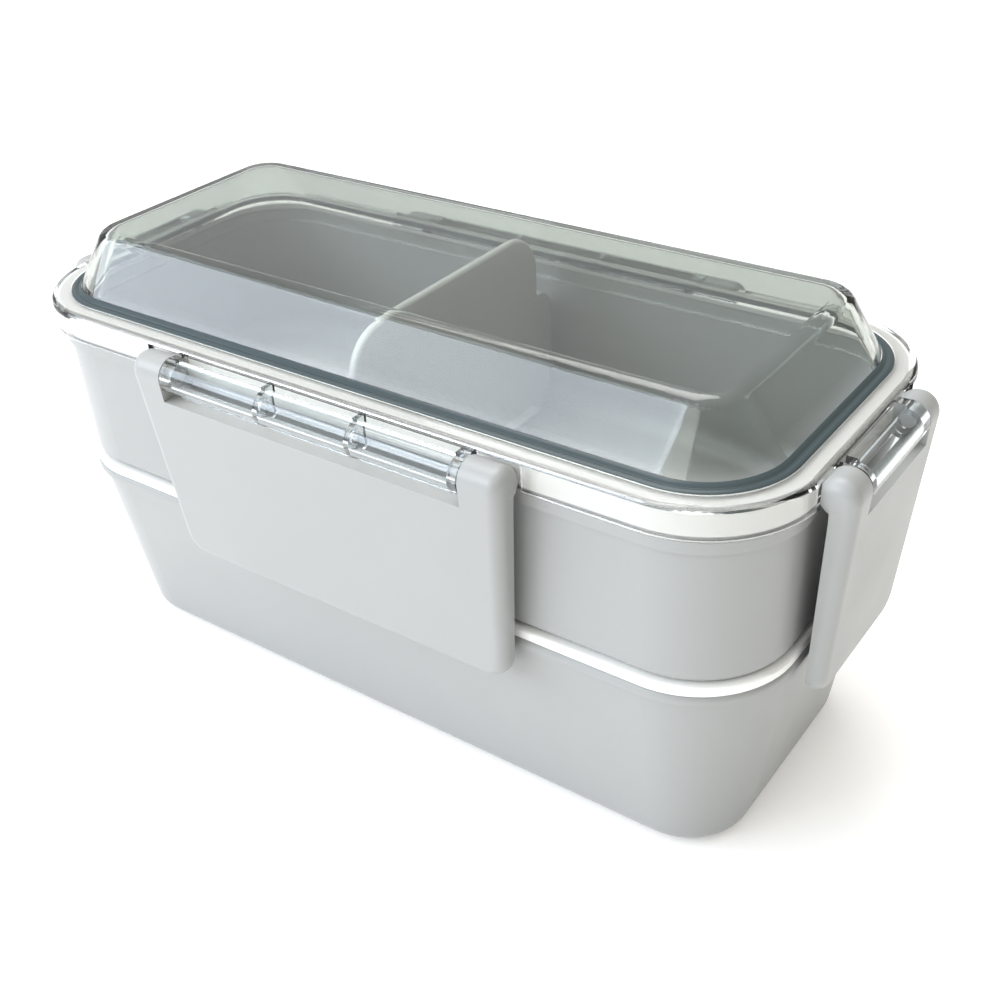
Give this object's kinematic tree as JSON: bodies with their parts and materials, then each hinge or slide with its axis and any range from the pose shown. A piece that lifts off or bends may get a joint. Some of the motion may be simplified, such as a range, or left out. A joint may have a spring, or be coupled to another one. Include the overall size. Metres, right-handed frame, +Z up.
{
  "type": "two-tier bento lunch box",
  "caption": "Two-tier lunch box: stacked grey tubs with a white inner lid between them, a removable divider, a smoky clear domed lid with a seal, and snap latches on its sides.",
  "frame": {"origin": "centre of the lower container's base, on the surface it stands on", "axes": "+X along the long side, -Y towards the front, +Z up"},
  "size_m": [0.1966, 0.0966, 0.0993],
  "materials": {
    "tub_plastic": "satin light grey polypropylene",
    "inner_lid_plastic": "soft white polyethylene",
    "divider_plastic": "satin light grey polypropylene",
    "lid_clear": "glossy smoky clear plastic",
    "seal_silicone": "soft white silicone",
    "latch_plastic": "smooth light grey plastic, soft gloss"
  },
  "bodies": {
    "lower_container": {"lower_container": "tub_plastic"},
    "inner_lid": {"inner_lid": "inner_lid_plastic"},
    "upper_container": {"upper_container": "tub_plastic"},
    "divider": {"divider": "divider_plastic"},
    "lid": {"lid": "lid_clear", "lid_seal": "seal_silicone"},
    "latch_front": {"latch_front": "latch_plastic"},
    "latch_back": {"latch_back": "latch_plastic"},
    "latch_left": {"latch_left": "latch_plastic"},
    "latch_right": {"latch_right": "latch_plastic"}
  },
  "joints": [
    {"name": "inner_lid_lift", "type": "slide", "parent": "lower_container", "child": "inner_lid", "axis": [0, 0, 1], "range_m": [0, 0.06]},
    {"name": "upper_container_lift", "type": "slide", "parent": "inner_lid", "child": "upper_container", "axis": [0, 0, 1], "range_m": [0, 0.06]},
    {"name": "divider_lift", "type": "slide", "parent": "upper_container", "child": "divider", "axis": [0, 0, 1], "range_m": [0, 0.06]},
    {"name": "lid_lift", "type": "slide", "parent": "divider", "child": "lid", "axis": [0, 0, 1], "range_m": [0, 0.06]},
    {"name": "latch_front_hinge", "type": "hinge", "parent": "lid", "child": "latch_front", "pos_m": [0, -0.0444, 0.082], "axis": [-1, 0, 0], "range_deg": [-1.5, 110]},
    {"name": "latch_right_hinge", "type": "hinge", "parent": "lid", "child": "latch_right", "pos_m": [0.0944, 0, 0.082], "axis": [0, -1, 0], "range_deg": [-1.5, 110]},
    {"name": "latch_back_hinge", "type": "hinge", "parent": "lid", "child": "latch_back", "pos_m": [0, 0.0444, 0.082], "axis": [1, 0, 0], "range_deg": [-1.5, 110]},
    {"name": "latch_left_hinge", "type": "hinge", "parent": "lid", "child": "latch_left", "pos_m": [-0.0944, 0, 0.082], "axis": [0, 1, 0], "range_deg": [-1.5, 110]}
  ]
}
